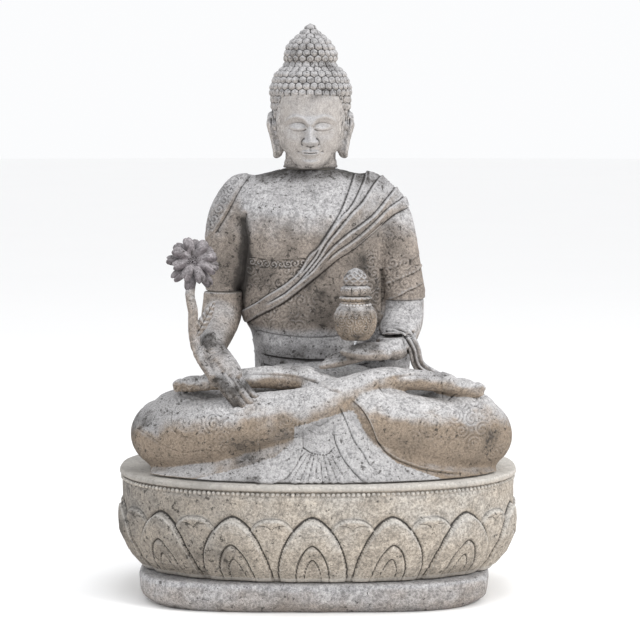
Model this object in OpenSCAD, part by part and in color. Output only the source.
// Seated buddha on a lotus pedestal, built up from separately carved stone blocks
// that are bedded in mortar and pinned with steel dowels.
// Millimetres. +Z is up, the figure faces -Y, the origin is the middle of the underside.
// "Right" and "left" in the names are the figure's own.

/* [Pedestal] */
// Half width of the lotus pedestal at its widest ring
pedestal_half_w = 530; // [450:5:620]
// Half depth of the lotus pedestal at its widest ring
pedestal_half_d = 362; // [340:2:420]
// Height of the rough foot plinth
plinth_h = 76; // [60:1:90]
// Height of the pedestal's top face above the ground
seat_z = 335; // [320:1:380]
// Large lotus petals round the pedestal
petal_count = 14; // [8:2:16]
// Roundness of the pedestal's outline: 2 is an ellipse, more is squarer
drum_power = 2.4; // [2:0.1:3]

/* [Figure] */
// Height of the whole statue
total_h = 1500; // [1480:1:1520]
// Middle of the head, from the middle of the pedestal
head_x = -20; // [-26:1:0]
// Height of the joint between neck and torso
neck_joint_z = 1120; // [1116:1:1124]
// Height of the joint above the right elbow
right_elbow_z = 795; // [780:1:810]
// Height of the joint above the left elbow, under the sleeve
left_elbow_z = 775; // [765:1:785]

/* [Jar] */
// Radius of the medicine jar's belly
jar_r = 55; // [45:1:58]
// Height of the jar's rim above its foot
jar_h = 112; // [95:1:120]

/* [Joints] */
// Thickness of a mortar bed
mortar_t = 4; // [3:0.5:6]
// Radius of the large dowels
dowel_r = 12; // [8:0.5:14]
// Radius of the small pins
pin_r = 5; // [4:0.5:6]
// Grouted gap round a dowel
grout_gap = 1; // [0.5:0.5:2]

/* [Hidden] */

stone_warm = "#b3a48f";
stone_cool = "#a9a8a6";
stone_plum = "#8f8489";
mortar_grey = "#8d8880";
steel = "#c4c8cc";

torso_x = -14;              // middle of the torso
torso_y = 46;
torso_foot_z = 530;         // level at which the torso stands in the lap
torso_foot = [156, 128];    // half width and half depth of its foot
torso_seat_gap = 2;         // room round the torso's foot in the lap
legs_z = seat_z + mortar_t; // underside of the crossed legs
pedestal_z = plinth_h + mortar_t;
plinth_power = 4;           // the foot plinth is squarer in plan than the pedestal
seat_y = -14;               // the figure sits a little to the front
plinth_x = -10;             // it is set a little to one side
petal_shift = -15;          // how far the middle petal sits to one side
cut = 600;                  // larger than any block that a cutter has to clear
jar_at = [96, -190, 688];   // middle of the jar's foot
jar_neck_z = jar_at[2] + jar_h;
flower_at = [-319, -178, 888];
flower_turn = [-8, 0, 12];  // tips the flower a little up and towards the arm
flower_face = [78, 0, 0];   // stands the flower's plane up to face forwards

// ---- Curves and skins -------------------------------------------------------

function unit(v) = v / norm(v);
function power_of(c, e) = sign(c) * pow(abs(c), 2 / e);

// Point t of the way from p1 to p2 on a smooth curve through four stations
function curve(p0, p1, p2, p3, t) =
    0.5 * (2 * p1 + (p2 - p0) * t + (2 * p0 - 5 * p1 + 4 * p2 - p3) * t * t
    + (3 * p1 - p0 - 3 * p2 + p3) * t * t * t);

// A list of stations with k steps between each two of them
function smooth(s, k) = let (m = len(s) - 1) concat(
    [for (i = [0:m - 1], j = [0:k - 1])
        curve(s[max(i - 1, 0)], s[i], s[i + 1], s[min(i + 2, m)], j / k)],
    [s[m]]);

function place(p) = [p[0], p[1], p[2]];

// Directions of a ring: across, up, and along the limb
function ring_frame(along, up_hint) = let (
    up = unit(up_hint - along * (up_hint * along))) [cross(up, along), up, along];

function ring(at, axes, across, up, sides, e) = [for (i = [0:sides - 1]) let (
    a = 360 * (i + 0.5) / sides)
    at + axes[0] * across * power_of(cos(a), e) + axes[1] * up * power_of(sin(a), e)];

// Rings that close a limb's end in a half round; way is -1 at its start and 1 at its end
function end_rings(p, axes, way, sides, e) = let (r = min(p[3], p[4])) [
    for (f = (way < 0) ? [62, 28] : [28, 62])
        ring(place(p) + axes[2] * way * r * sin(f), axes, p[3] * cos(f), p[4] * cos(f), sides, e)];

function middle(r) = [for (a = [0:2]) let (v = [for (p = r) p[a]]) v * [for (p = r) 1] / len(r)];

// Closed skin over a list of rings, with a point in the middle of each end
module skin(rings, start, finish) {
    n = len(rings[0]);
    m = len(rings);
    points = concat([for (r = rings) each r], [start, finish]);
    sides = [for (i = [0:m - 2], j = [0:n - 1]) let (k = (j + 1) % n)
        each [[i * n + j, (i + 1) * n + j, (i + 1) * n + k], [i * n + j, (i + 1) * n + k, i * n + k]]];
    ends = [for (j = [0:n - 1]) let (k = (j + 1) % n)
        each [[m * n, j, k], [m * n + 1, (m - 1) * n + k, (m - 1) * n + j]]];
    polyhedron(points, concat(sides, ends));
}

// A limb through stations [x, y, z, half across, half up], with round or flat ends
module limb(stations, sides = 16, k = 2, up = [0, 0, 1], round_ends = [true, true], e = 2) {
    s = smooth(stations, k);
    m = len(s) - 1;
    axes = [for (i = [0:m]) ring_frame(
        unit(place(s[min(i + 1, m)]) - place(s[max(i - 1, 0)])), up)];
    body = [for (i = [0:m]) ring(place(s[i]), axes[i], s[i][3], s[i][4], sides, e)];
    head_end = round_ends[0] ? end_rings(s[0], axes[0], -1, sides, e) : [];
    tail_end = round_ends[1] ? end_rings(s[m], axes[m], 1, sides, e) : [];
    reach = [round_ends[0] ? min(s[0][3], s[0][4]) : 0, round_ends[1] ? min(s[m][3], s[m][4]) : 0];
    skin(concat(head_end, body, tail_end),
        place(s[0]) - axes[0][2] * reach[0], place(s[m]) + axes[m][2] * reach[1]);
}

// Upright block through stations [x, y, z, half width, half depth], with level rings
module upright(stations, sides = 28, k = 2, e = 2, dome = [false, false]) {
    s = smooth(stations, k);
    m = len(s) - 1;
    axes = [[1, 0, 0], [0, 1, 0], [0, 0, 1]];
    body = [for (p = s) ring(place(p), axes, p[3], p[4], sides, e)];
    low = dome[0] ? end_rings(s[0], axes, -1, sides, e) : [];
    high = dome[1] ? end_rings(s[m], axes, 1, sides, e) : [];
    reach = [dome[0] ? min(s[0][3], s[0][4]) : 0, dome[1] ? min(s[m][3], s[m][4]) : 0];
    skin(concat(low, body, high), place(s[0]) - [0, 0, reach[0]], place(s[m]) + [0, 0, reach[1]]);
}

// Joins its children into one skin
module one_skin() resize([0, 0, 0]) union() children();

// ---- The footprint and what stands on it -------------------------------------

// Outline in plan at a half width and half depth
function footprint(half_w, half_d, e = drum_power, sides = 48) = [for (i = [0:sides - 1])
    let (a = 360 * i / sides) [half_w * power_of(cos(a), e), half_d * power_of(sin(a), e)]];

module footprint_stack(levels, e = drum_power, sides = 48) {
    rings = [for (l = levels) [for (p = footprint(l[1], l[2], e, sides)) [p[0], p[1], l[0]]]];
    skin(rings, [0, 0, levels[0][0]], [0, 0, levels[len(levels) - 1][0]]);
}

// Heights, half widths and half depths of the drum, inside its petals
function drum_levels() = let (w = pedestal_half_w - 16, d = pedestal_half_d - 16, h = seat_z - pedestal_z) [
    [pedestal_z, w - 54, d - 46], [pedestal_z + 0.14 * h, w - 24, d - 22],
    [pedestal_z + 0.35 * h, w - 2, d - 2], [pedestal_z + 0.6 * h, w + 2, d + 2],
    [pedestal_z + 0.95 * h, w + 1, d + 1], [pedestal_z + 0.965 * h, w + 8, d + 8],
    [seat_z, w + 8, d + 8]];

// Half width and half depth of the drum at a height
function drum_at(z) = let (l = drum_levels(), i = [for (j = [0:len(l) - 2]) if (z <= l[j + 1][0]) j][0],
    t = (z - l[i][0]) / (l[i + 1][0] - l[i][0])) [
    l[i][1] + t * (l[i + 1][1] - l[i][1]), l[i][2] + t * (l[i + 1][2] - l[i][2])];

// Even steps round the footprint: the angle at which each share of the perimeter is reached
round_steps = 360;
round_points = footprint(pedestal_half_w, pedestal_half_d, drum_power, round_steps);
function run_to(i) = (i == 0) ? [0] : let (r = run_to(i - 1))
    concat(r, [r[i - 1] + norm(round_points[i % round_steps] - round_points[i - 1])]);
round_run = run_to(round_steps);
perimeter = round_run[round_steps];
function angle_at(run) = let (r = run - perimeter * floor(run / perimeter),
    i = search_run(r, 0, round_steps)) i + (r - round_run[i]) / (round_run[i + 1] - round_run[i]);
function search_run(r, lo, hi) = (hi - lo <= 1) ? lo : let (mid = floor((lo + hi) / 2))
    (round_run[mid] <= r) ? search_run(r, mid, hi) : search_run(r, lo, mid);

// Point on the drum at a run along the footprint and a height, lifted off it
function drum_point(run, z, lift) = let (a = angle_at(run), s = drum_at(z),
    p = [(s[0] + lift) * power_of(cos(a), drum_power), (s[1] + lift) * power_of(sin(a), drum_power)])
    [p[0], p[1], z];

// Half width of a pointed petal, and of the round one behind it, from foot (0) to tip (1)
function pointed(t) = pow(max(1 - pow(t, 1.9), 0), 0.62);
function rounded(t) = pow(max(1 - pow(t, 5), 0), 0.5) * (0.55 + 0.45 * min(1, 1.6 * t));

// A curved petal plate on the drum: shape 0 is pointed, shape 1 is rounded
module petal(run, half_w, foot_z, tip_z, lift, shape) {
    rows = (shape == 0) ? 4 : 3;
    cols = (shape == 0) ? 2 : 1;
    rings = [for (i = [0:rows]) let (t = (i == rows) ? 0.995 : i / rows, z = foot_z + (tip_z - foot_z) * t,
        w = half_w * (shape == 0 ? pointed(t) : rounded(t)))
        concat([for (j = [-cols:cols]) drum_point(run + w * j / cols, z, lift)],
            [for (j = [cols:-1:-cols]) drum_point(run + w * j / cols, z, -10)])];
    skin(rings, drum_point(run, foot_z, lift / 2), drum_point(run, tip_z, lift / 2));
}

// ---- Pins, dowels and mortar --------------------------------------------------

module dowel(at, r, length, grow = 0) translate(at - [0, 0, length / 2 + grow])
    cylinder(r = r + grow, h = length + 2 * grow, $fn = 48);

plinth_dowel_at = [for (x = [-1, 1], y = [-1, 1]) [x * 300, y * 160, pedestal_z - mortar_t / 2]];
seat_dowel_at = [for (x = [-1, 1]) [x * 250, 20, seat_z + mortar_t / 2]];
waist_dowel_at = [for (x = [-1, 1]) [torso_x + x * 70, torso_y, torso_foot_z - mortar_t / 2]];
neck_dowel_at = [head_x, 40, neck_joint_z];
right_elbow_at = [-248, 26, right_elbow_z];
left_elbow_at = [225, 26, left_elbow_z];
dowel_l = 90;

module dowels(places, r, length, grow = 0) for (p = places) dowel(p, r, length, grow);

module flat_plate(z, thick, half_w, half_d) translate([0, 0, z]) linear_extrude(thick)
    polygon(footprint(half_w, half_d));

module oval_bed(at, half_w, half_d) translate(at - [0, 0, mortar_t / 2])
    linear_extrude(mortar_t) polygon([for (a = [0:12:348]) [half_w * cos(a), half_d * sin(a)]]);

// ---- Pedestal -------------------------------------------------------------------

module foot_plinth() color(stone_cool) difference() {
    translate([plinth_x, 0, 0]) footprint_stack([
        [0, pedestal_half_w - 100, pedestal_half_d - 62],
        [0.25 * plinth_h, pedestal_half_w - 74, pedestal_half_d - 46],
        [0.9 * plinth_h, pedestal_half_w - 70, pedestal_half_d - 44],
        [plinth_h, pedestal_half_w - 74, pedestal_half_d - 48]], plinth_power);
    dowels(plinth_dowel_at, dowel_r, dowel_l, grout_gap);
}

module plinth_mortar_bed() color(mortar_grey) difference() {
    flat_plate(plinth_h, mortar_t, pedestal_half_w - 76, pedestal_half_d - 68);
    dowels(plinth_dowel_at, dowel_r, dowel_l, grout_gap);
}

module plinth_dowels() color(steel) dowels(plinth_dowel_at, dowel_r, dowel_l);

module lotus_pedestal() color(stone_warm) difference() {
    one_skin() {
        footprint_stack(drum_levels());
        for (i = [0:petal_count - 1]) let (pitch = perimeter / petal_count,
            run = 0.75 * perimeter + petal_shift + i * pitch) {
            petal(run, 0.46 * pitch, pedestal_z, seat_z - 84, 14, 0);
            petal(run + pitch / 2, 0.3 * pitch, pedestal_z, seat_z - 82, 7, 1);
        }
    }
    dowels(plinth_dowel_at, dowel_r, dowel_l, grout_gap);
    dowels(seat_dowel_at, dowel_r, dowel_l, grout_gap);
}

module seat_mortar_bed() color(mortar_grey) difference() {
    translate([0, seat_y, 0]) flat_plate(seat_z, mortar_t, 430, 216);
    dowels(seat_dowel_at, dowel_r, dowel_l, grout_gap);
}

module seat_dowels() color(steel) dowels(seat_dowel_at, dowel_r, dowel_l);

// ---- Crossed legs and apron -----------------------------------------------------

// Height of the apron's upper edge, under the crossed shins, along x
apron_line = [[-440, 346], [-400, 352], [-300, 372], [-190, 402], [-100, 440], [-40, 470], [30, 532],
    [75, 545], [120, 506], [170, 452], [230, 412], [310, 378], [400, 356], [470, 346]];

function apron_front(x) = -(pedestal_half_d - 30)
    * pow(1 - pow(abs(x) / (pedestal_half_w - 24), drum_power), 1 / drum_power);

module apron() {
    rings = [for (p = smooth(apron_line, 2)) let (x = p[0], h = p[1], y = apron_front(x),
        lean = 26 + 0.14 * (h - legs_z))
        [[x, -20, legs_z], [x, y + lean + 60, h], [x, y + lean, h], [x, y + 3, legs_z + 5], [x, y, legs_z]]];
    skin(rings, middle(rings[0]), middle(rings[len(rings) - 1]));
}

module right_leg() {
    limb([[-80, 112, 425, 104, 92], [-240, 40, 430, 100, 92], [-398, -56, 430, 98, 94]], 14);
    limb([[-402, -88, 430, 94, 93], [-336, -165, 434, 92, 91], [-195, -232, 472, 82, 82],
        [-45, -262, 512, 62, 61], [75, -248, 560, 44, 42], [140, -228, 584, 36, 34], [190, -208, 590, 34, 31]],
        14);
}

module left_leg() {
    limb([[80, 112, 425, 104, 92], [250, 40, 430, 100, 92], [412, -56, 428, 98, 94]], 14);
    limb([[420, -88, 428, 94, 93], [350, -165, 434, 92, 91], [220, -225, 470, 86, 86],
        [130, -238, 508, 68, 66], [40, -212, 550, 46, 44], [-40, -192, 586, 36, 33]], 14);
}

// Foot lying sole upwards, from its ankle to its toes
module foot(stations, toe_dir) {
    limb(stations, 14, 2);
    tip = stations[len(stations) - 1];
    for (i = [0:4]) let (w = tip[3], off = -w + 2 * w * (i + 0.5) / 5, r = 10 - 0.8 * i, long = 26 - 4 * i)
        limb([[tip[0] - 20 * toe_dir, tip[1] + off, tip[2], r, r],
            [tip[0] + long * toe_dir, tip[1] + off + 6, tip[2] - 6, r, r]], 7, 1);
}

module right_foot() foot([[190, -208, 590, 34, 31], [280, -186, 580, 39, 25],
    [350, -160, 566, 41, 20], [396, -140, 552, 38, 15]], 1);

module left_foot() foot([[-30, -192, 588, 35, 33], [-140, -190, 590, 37, 28],
    [-250, -178, 578, 38, 22], [-340, -160, 566, 34, 16]], -1);

// Seat, lap, and the low base that the legs are carved out of
module hips() {
    limb([[-220, 92, 420, 112, 88], [0, 126, 425, 140, 96], [220, 92, 420, 112, 88]], 14);
    limb([[-280, -96, 462, 112, 84], [0, -84, 492, 128, 94], [280, -96, 462, 112, 84]], 14);
    translate([0, seat_y, 0]) footprint_stack([[legs_z, 446, 232], [legs_z + 22, 444, 230],
        [legs_z + 66, 410, 200], [legs_z + 120, 340, 150]]);
}

module torso_socket() translate([torso_x, torso_y, torso_foot_z - mortar_t])
    linear_extrude(cut) polygon([for (a = [6.43:12.857:360])
        [(torso_foot[0] + torso_seat_gap) * power_of(cos(a), 2.2),
         (torso_foot[1] + torso_seat_gap) * power_of(sin(a), 2.2)]]);

module crossed_legs() color(stone_warm) difference() {
    one_skin() difference() {
        union() {
            right_leg();
            left_leg();
            right_foot();
            left_foot();
            hips();
            apron();
        }
        translate([-cut, -cut, legs_z - cut]) cube([2 * cut, 2 * cut, cut]);
        torso_socket();
        right_forearm_shape();
        left_forearm_shape();
        torso_shape();
    }
    dowels(seat_dowel_at, dowel_r, dowel_l, grout_gap);
    dowels(waist_dowel_at, dowel_r, dowel_l, grout_gap);
}

// ---- Torso and upper arms -----------------------------------------------------

module torso_shape() {
    upright([[torso_x, torso_y, torso_foot_z, torso_foot[0], torso_foot[1]],
        [torso_x, torso_y, torso_foot_z + 100, torso_foot[0], torso_foot[1]],
        [torso_x, 43, 690, 164, 138], [torso_x - 4, 42, 726, 184, 144], [torso_x - 2, 41, 800, 190, 146],
        [torso_x - 4, 42, 870, 192, 144], [torso_x - 6, 40, 950, 198, 148],
        [torso_x - 8, 43, 1010, 208, 142], [torso_x - 10, 48, 1056, 206, 120],
        [torso_x - 12, 50, 1088, 176, 96], [torso_x - 10, 48, 1106, 128, 80],
        [head_x, 42, 1114, 84, 68], [head_x, 40, neck_joint_z - mortar_t / 2, 74, 66]], 28, 1, 2.2);
    intersection() {
        limb([[-196, 48, 1048, 60, 64], [-228, 47, 1000, 60, 66], [-242, 44, 940, 58, 62],
            [-246, 38, 870, 56, 58], [-248, 28, 790, 54, 56], [-250, 20, 730, 54, 56]],
            18, 2, [0, -1, 0], [true, true]);
        translate([-cut, -cut, right_elbow_z + mortar_t / 2]) cube(2 * cut);
    }
    intersection() {
        limb([[134, 48, 1050, 60, 64], [178, 47, 1004, 64, 68], [196, 44, 940, 66, 68],
            [208, 40, 870, 64, 68], [220, 30, 800, 64, 68], [226, 26, 760, 62, 66], [228, 24, 720, 62, 66]],
            18, 2, [0, -1, 0], [true, true]);
        translate([-cut, -cut, left_elbow_z + mortar_t / 2]) cube(2 * cut);
    }
}

module waist_mortar_bed() color(mortar_grey) difference() {
    oval_bed([torso_x, torso_y, torso_foot_z - mortar_t / 2], torso_foot[0] - 6, torso_foot[1] - 6);
    dowels(waist_dowel_at, dowel_r, dowel_l, grout_gap);
}

module waist_dowels() color(steel) dowels(waist_dowel_at, dowel_r, dowel_l);

module torso() color(stone_cool) difference() {
    one_skin() torso_shape();
    dowels(waist_dowel_at, dowel_r, dowel_l, grout_gap);
    dowel(neck_dowel_at, dowel_r, dowel_l, grout_gap);
    dowel(right_elbow_at, pin_r + 3, dowel_l, grout_gap);
    dowel(left_elbow_at, pin_r + 3, dowel_l, grout_gap);
}

// ---- Head -----------------------------------------------------------------------

module neck_mortar_bed() color(mortar_grey) difference() {
    oval_bed([head_x, 40, neck_joint_z], 66, 58);
    dowel(neck_dowel_at, dowel_r, dowel_l, grout_gap);
}

module neck_dowel() color(steel) dowel(neck_dowel_at, dowel_r, dowel_l);

module ear(side) limb([[head_x + side * 104, 26, 1262, 9, 20], [head_x + side * 106, 22, 1236, 11, 25],
    [head_x + side * 98, 16, 1198, 8, 19], [head_x + side * 91, 10, 1156, 7, 18]], 10, 2, [0, -1, 0]);

// The face is divided in equal thirds: hairline to brow, brow to nose, nose to chin
chin_z = 1122;
hairline_z = 1314;
third = (hairline_z - chin_z) / 3;
brow_z = hairline_z - third;
nose_z = brow_z - third;
eye_z = brow_z - 0.3 * third;
mouth_z = nose_z - third / 3;
eye_x = 0.5 * third;
face_y = -96;               // front of the cheeks

module face() {
    // Jaw and cheeks, nose, lips, chin, closed eyelids
    upright([[head_x, -30, chin_z + 12, 34, 42], [head_x, -14, chin_z + 34, 60, 66],
        [head_x, 0, mouth_z + 14, 78, 86], [head_x, 6, nose_z + 30, 88, 96],
        [head_x, 10, brow_z, 92, 102], [head_x, 14, hairline_z + 10, 88, 98]], 18, 1, 2.1, [true, true]);
    limb([[head_x, face_y + 12, brow_z - 4, 8, 10], [head_x, face_y + 3, nose_z + 28, 9, 11],
        [head_x, face_y - 5, nose_z + 10, 13, 13]], 10, 2, [0, -1, 0]);
    for (side = [-1, 1]) limb([[head_x + side * (eye_x - 16), face_y + 14, eye_z, 4, 6],
        [head_x + side * eye_x, face_y + 14, eye_z, 8, 10],
        [head_x + side * (eye_x + 16), face_y + 26, eye_z, 4, 6]], 8, 1, [0, 0, 1]);
    for (lip = [0, 1]) limb([[head_x - 22, face_y + 20, mouth_z + 1 - 7 * lip, 5, 4],
        [head_x, face_y + 11 + lip, mouth_z + 1 - 9 * lip, 8, 6],
        [head_x + 22, face_y + 20, mouth_z + 1 - 7 * lip, 5, 4]], 8, 1, [0, 0, 1]);
}

module head_shape() {
    // Neck, face, skull, hair, and the raised knot on the crown
    upright([[head_x, 40, neck_joint_z + mortar_t / 2, 70, 62], [head_x, 36, 1150, 66, 62],
        [head_x, 34, 1190, 66, 66]], 16, 1);
    face();
    upright([[head_x, 52, 1172, 72, 56], [head_x, 44, 1220, 90, 80], [head_x, 30, 1280, 104, 98],
        [head_x, 22, 1330, 108, 112], [head_x, 22, 1370, 94, 96], [head_x, 22, 1394, 66, 66]],
        20, 1, 2, [true, false]);
    upright([[head_x, 22, 1392, 62, 62], [head_x, 22, 1412, 72, 70], [head_x, 22, 1440, 62, 60],
        [head_x, 22, 1462, 44, 42], [head_x, 22, total_h - 18, 18, 18]], 18, 1, 2, [false, true]);
    ear(-1);
    ear(1);
}

module head() color(stone_warm) difference() {
    one_skin() intersection() {
        head_shape();
        translate([-cut, -cut, neck_joint_z + mortar_t / 2]) cube(2 * cut);
    }
    dowel(neck_dowel_at, dowel_r, dowel_l, grout_gap);
}

// ---- Right forearm, reaching down over the knee ----------------------------------

module finger(stations) limb(stations, 8, 2, [0, -1, 0.3]);

module right_forearm_shape() {
    intersection() {
        limb([[-248, 28, 850, 54, 56], [-250, 26, 790, 54, 56], [-256, 4, 735, 54, 56], [-264, -58, 700, 47, 48],
            [-272, -128, 672, 39, 38], [-272, -182, 650, 33, 28]], 18, 2, [0, -1, 0.2]);
        translate([-cut, -cut, right_elbow_z - mortar_t / 2 - cut]) cube([2 * cut, 2 * cut, cut]);
    }
    limb([[-268, -176, 654, 34, 28], [-255, -206, 632, 42, 24], [-240, -227, 606, 46, 18],
        [-231, -239, 590, 42, 13]], 14, 2, [0, -1, 0.6]);
    finger([[-300, -198, 660, 14, 14], [-294, -227, 632, 13, 13], [-271, -251, 601, 11, 10]]);
    finger([[-263, -237, 603, 12, 12], [-239, -263, 567, 11, 11], [-211, -281, 533, 9, 9]]);
    finger([[-242, -240, 598, 12, 12], [-218, -268, 562, 11, 11], [-190, -284, 528, 9, 9]]);
    finger([[-218, -238, 592, 12, 12], [-194, -264, 562, 11, 11], [-170, -280, 536, 9, 9]]);
    finger([[-198, -230, 588, 11, 11], [-178, -250, 568, 10, 10], [-158, -268, 550, 8, 8]]);
}

module right_elbow_mortar() color(mortar_grey) difference() {
    oval_bed(right_elbow_at, 46, 48);
    dowel(right_elbow_at, pin_r + 3, dowel_l, grout_gap);
}

module right_elbow_dowel() color(steel) dowel(right_elbow_at, pin_r + 3, dowel_l);

module right_forearm() color(stone_cool) difference() {
    one_skin() difference() {
        right_forearm_shape();
        stem_shape(1);
    }
    dowel(right_elbow_at, pin_r + 3, dowel_l, grout_gap);
    pin_between(stem_pin_ends, grout_gap);
}

// ---- Left forearm, palm up under the jar -------------------------------------------

module left_forearm_shape() {
    intersection() {
        limb([[226, 28, 830, 56, 58], [226, 26, 775, 56, 58], [222, 2, 718, 57, 57], [208, -52, 684, 52, 50],
            [200, -110, 668, 44, 42], [192, -158, 662, 35, 31]], 18, 2, [0, -1, 0.2]);
        translate([-cut, -cut, left_elbow_z - mortar_t / 2 - cut]) cube([2 * cut, 2 * cut, cut]);
    }
    // Palm, thumb and fingers
    limb([[198, -148, 660, 34, 28], [170, -176, 660, 40, 22], [128, -190, 662, 42, 19],
        [96, -192, 660, 40, 17]], 14, 2);
    limb([[176, -204, 652, 15, 15], [122, -226, 650, 14, 13], [66, -226, 660, 12, 11]], 10, 2);
    for (i = [0:3]) let (y = -214 + 17 * i, r = 12 - 0.6 * i, drop = 5 * i)
        limb([[112, y, 646, r, r], [60, y - 4, 632 + drop, r - 1, r - 1], [10 + 6 * i, y, 622 + drop, r - 3, r - 3]], 8, 2);
    // End of the robe, hanging over the wrist and down beside it
    limb([[160, -128, 676, 12, 10], [188, -140, 700, 15, 11], [222, -140, 698, 17, 12],
        [248, -132, 660, 17, 14], [262, -128, 612, 16, 14], [304, -122, 584, 15, 12],
        [360, -110, 558, 10, 8]], 10, 2, [0, -1, 0.1]);
}

module left_elbow_mortar() color(mortar_grey) difference() {
    oval_bed(left_elbow_at, 48, 50);
    dowel(left_elbow_at, pin_r + 3, dowel_l, grout_gap);
}

module left_elbow_dowel() color(steel) dowel(left_elbow_at, pin_r + 3, dowel_l);

module left_forearm() color(stone_cool) difference() {
    one_skin() difference() {
        left_forearm_shape();
        translate(jar_at) cylinder(r = 200, h = 8, $fn = 48);
    }
    dowel(left_elbow_at, pin_r + 3, dowel_l, grout_gap);
    dowel(jar_at, pin_r, 30, grout_gap / 2);
}

// ---- Flower and its stem -------------------------------------------------------------

stem_route = [[-300, -200, 636], [-314, -192, 670], [-321, -186, 712], [-321, -182, 760],
    [-330, -176, 804], [-322, -168, 846]];
stem_pin_ends = [[-306, -197, 651], [-276, -186, 651]];
flower_pin_ends = [[-322, -170, 838], [-320, -173, 866]];

module stem_shape(grow = 0) limb([for (i = [0:len(stem_route) - 1])
    [stem_route[i][0], stem_route[i][1], stem_route[i][2], 13 + grow, 13 + grow]], 12, 2, [0, -1, 0]);

module leaf() limb([[-318, -180, 690, 5, 5], [-300, -176, 722, 15, 5], [-284, -166, 752, 14, 4],
    [-268, -156, 782, 5, 3]], 10, 2, [0.3, -1, 0]);

module pin_between(ends, grow = 0) let (v = ends[1] - ends[0], l = norm(v))
    translate(ends[0]) rotate([0, acos(v[2] / l), atan2(v[1], v[0])])
        translate([0, 0, -grow]) cylinder(r = pin_r + grow, h = l + 2 * grow, $fn = 32);

module flower_stem() color(stone_cool) difference() {
    one_skin() difference() {
        union() {
            stem_shape();
            leaf();
        }
        right_forearm_shape_clear();
        flower_shape();
    }
    pin_between(stem_pin_ends, grout_gap / 2);
    pin_between(flower_pin_ends, grout_gap / 2);
}

// The forearm where the leaf lies along it, so that the two only touch
module right_forearm_shape_clear() limb([[-248, 28, 850, 55, 57], [-250, 26, 790, 55, 57],
    [-256, 4, 735, 55, 57], [-264, -58, 700, 48, 49], [-272, -128, 672, 40, 39],
    [-272, -170, 655, 35, 30]], 18, 2, [0, -1, 0.2]);

module stem_pin() color(steel) pin_between(stem_pin_ends);

module flower_petal(long, half_w, thick, tilt) rotate([0, -tilt, 0])
    limb([[10, 0, 0, 5, thick], [0.5 * long, 0, 2, 0.85 * half_w, thick], [0.8 * long, 0, 5, half_w, thick],
        [long, 0, 9, 0.45 * half_w, 0.7 * thick]], 6, 1);

module flower_shape() translate(flower_at) rotate(flower_turn) rotate(flower_face) {
    for (i = [0:7]) rotate(45 * i) flower_petal(56, 20, 6, 12);
    for (i = [0:7]) rotate(45 * i + 22.5) translate([0, 0, -10]) flower_petal(64, 20, 5, 2);
    translate([0, 0, 2]) sphere(r = 17, $fn = 20);
    translate([0, 0, -20]) cylinder(r1 = 14, r2 = 30, h = 18, $fn = 20);
}

module flower_head() color(stone_plum) difference() {
    one_skin() flower_shape();
    pin_between(flower_pin_ends, grout_gap / 2);
}

module flower_pin() color(steel) pin_between(flower_pin_ends);

// ---- Medicine jar ----------------------------------------------------------------------

module jar_outline() polygon(concat([[0, 0], [0.6 * jar_r, 0]],
    [for (a = [-54:12:66]) [jar_r * cos(a), 0.42 * jar_h + 0.4 * jar_h * sin(a)]],
    [[0.66 * jar_r, 0.8 * jar_h], [0.68 * jar_r, 0.84 * jar_h], [0.62 * jar_r, 0.87 * jar_h],
     [0.64 * jar_r, 0.91 * jar_h], [0.68 * jar_r, 0.95 * jar_h], [0.6 * jar_r, jar_h], [0, jar_h]]));

module medicine_jar() color(stone_warm) difference() {
    translate(jar_at) rotate_extrude($fn = 64) jar_outline();
    dowel(jar_at, pin_r, 30, grout_gap / 2);
    dowel([jar_at[0], jar_at[1], jar_neck_z], pin_r, 40, grout_gap / 2);
}

module jar_pin() color(steel) dowel(jar_at, pin_r, 30);

module jar_lid() color(stone_cool) difference() {
    translate([jar_at[0], jar_at[1], jar_neck_z]) rotate_extrude($fn = 64)
        polygon([[0, 0], [26, 0], [36, 8], [39, 18], [36, 26], [31, 28], [29, 38], [25, 52],
            [18, 64], [9, 71], [0, 73]]);
    dowel([jar_at[0], jar_at[1], jar_neck_z], pin_r, 40, grout_gap / 2);
}

module lid_pin() color(steel) dowel([jar_at[0], jar_at[1], jar_neck_z], pin_r, 40);

// ---- Nodes ------------------------------------------------------------------------------

foot_plinth();
plinth_mortar_bed();
plinth_dowels();
lotus_pedestal();
seat_mortar_bed();
seat_dowels();
crossed_legs();
waist_mortar_bed();
waist_dowels();
torso();
neck_mortar_bed();
neck_dowel();
head();
right_elbow_mortar();
right_elbow_dowel();
right_forearm();
left_elbow_mortar();
left_elbow_dowel();
left_forearm();
flower_stem();
stem_pin();
flower_head();
flower_pin();
medicine_jar();
jar_pin();
jar_lid();
lid_pin();
